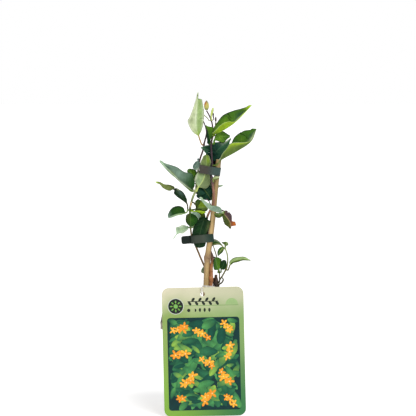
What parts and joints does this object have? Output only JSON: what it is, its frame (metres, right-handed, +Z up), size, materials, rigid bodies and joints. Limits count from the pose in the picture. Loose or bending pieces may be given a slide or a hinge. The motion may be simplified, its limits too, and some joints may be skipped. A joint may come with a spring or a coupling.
{
  "type": "potted honeysuckle vine",
  "caption": "Young honeysuckle vine in a square nursery pot, tied to a bamboo cane with soft plastic tape, with a hanging plant label leaning on the rim.",
  "frame": {"origin": "middle of the pot's flat base, on the surface it stands on", "axes": "+Z up along the plant, +X to the viewer's right, the front with the label faces -Y"},
  "size_m": [0.1199, 0.1055, 0.3776],
  "materials": {
    "pot_plastic": "matte",
    "soil": "matte",
    "bamboo": "satin",
    "bark": "matte",
    "green_stem": "satin",
    "bud": "satin",
    "leaf_dark": "satin",
    "leaf_fresh": "satin",
    "leaf_mint": "matte",
    "leaf_purple": "matte",
    "tie_tape": "satin",
    "label_card": "satin",
    "clear_strap": "gloss"
  },
  "bodies": {
    "root": {"nursery_pot": "pot_plastic", "potting_soil": "soil", "bamboo_cane": "bamboo", "main_stem": "bark", "old_stump": "bark", "stump_fork": "bark", "left_stem": "green_stem", "right_shoot": "green_stem", "inner_right_shoot": "green_stem", "hooked_twig": "green_stem", "side_shoot": "green_stem", "dry_stalk": "green_stem", "top_shoot": "green_stem", "top_twig_left": "green_stem", "top_twig_dark": "green_stem", "bud_twig": "green_stem", "bud_top": "bud", "bud_top_small": "bud", "bud_cane_node": "bud", "bud_left_sheath": "bud", "leaf_top_left_upright": "leaf_mint", "leaf_top_right_long": "leaf_fresh", "leaf_top_right_round": "leaf_fresh", "leaf_top_left_small": "leaf_dark", "leaf_dark_pair_right": "leaf_dark", "leaf_dark_pair_left": "leaf_dark", "leaf_right_long": "leaf_fresh", "leaf_dark_behind": "leaf_dark", "leaf_grey_behind": "leaf_mint", "leaf_tied_tall": "leaf_fresh", "leaf_green_behind": "leaf_fresh", "leaf_left_long": "leaf_dark", "leaf_left_twisted": "leaf_dark", "leaf_left_round": "leaf_dark", "leaf_cluster_round": "leaf_dark", "leaf_mint_pointed": "leaf_mint", "leaf_tied_low": "leaf_dark", "leaf_lime_small": "leaf_fresh", "leaf_olive_behind": "leaf_fresh", "leaf_olive_upright": "leaf_dark", "leaf_mint_folded": "leaf_mint", "leaf_olive_low": "leaf_dark", "leaf_mint_over_cane": "leaf_mint", "leaf_green_under": "leaf_fresh", "leaf_purple_drooping": "leaf_purple", "leaf_behind_cane": "leaf_mint", "leaf_dark_blue": "leaf_dark", "leaf_scrap_under_tie": "leaf_fresh", "leaf_low_mint": "leaf_mint", "leaf_arching_in": "leaf_fresh", "leaf_arching_up": "leaf_fresh", "leaf_arching_down": "leaf_fresh", "leaf_low_pair_left": "leaf_fresh", "leaf_low_pair_right": "leaf_dark", "leaf_right_arching": "leaf_fresh", "leaf_young_top": "leaf_fresh", "tie_band_upper": "tie_tape", "tie_band_lower": "tie_tape", "plant_label": "label_card", "label_strap": "clear_strap"}
  },
  "joints": []
}
